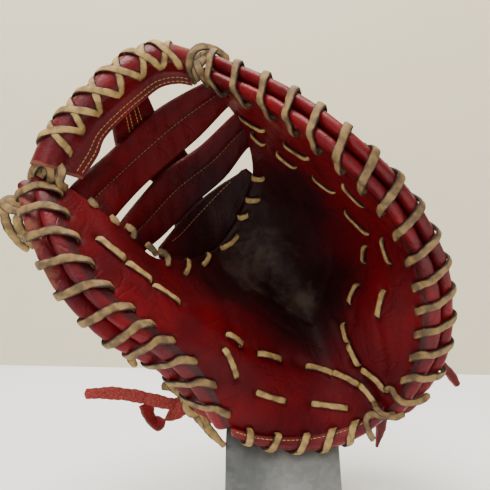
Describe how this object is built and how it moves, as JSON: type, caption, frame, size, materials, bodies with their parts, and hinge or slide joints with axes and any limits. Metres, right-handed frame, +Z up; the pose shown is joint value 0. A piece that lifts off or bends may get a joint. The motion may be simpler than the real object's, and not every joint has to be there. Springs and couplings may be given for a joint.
{
  "type": "first baseman mitt on a display stand",
  "caption": "Open baseball mitt for a first baseman: padded leather bowl with a laced rolled rim, barred web and folded loop, leaning on a bent sheet stand.",
  "frame": {"origin": "middle of the whole part's footprint, on the table under the stand's foot", "axes": "+Z up, -Y the catching side that faces the viewer, +X to the finger side"},
  "size_m": [0.3288, 0.2456, 0.3638],
  "materials": {
    "red_leather": "glossy, worn",
    "palm_leather": "satin, darkened in the pocket",
    "lace_leather": "matte",
    "stand_steel": "galvanised"
  },
  "bodies": {
    "root": {"thumb_back": "red_leather", "finger_back": "red_leather", "thumb_welt": "red_leather", "thumb_binding": "red_leather", "finger_welt": "red_leather", "finger_binding": "red_leather", "heel_binding": "red_leather", "web_loop": "red_leather", "wrist_strap": "red_leather", "strap_tail": "red_leather", "side_tail": "red_leather", "low_tail": "red_leather", "palm": "palm_leather", "web_upper_bar": "palm_leather", "web_lower_bar": "palm_leather", "web_base": "palm_leather", "web_post": "palm_leather", "thumb_lace": "lace_leather", "finger_lace": "lace_leather", "heel_lace": "lace_leather", "web_loop_lace": "lace_leather", "thumb_tail": "lace_leather", "heel_tail": "lace_leather", "small_tail": "lace_leather", "display_stand": "stand_steel"}
  },
  "joints": []
}
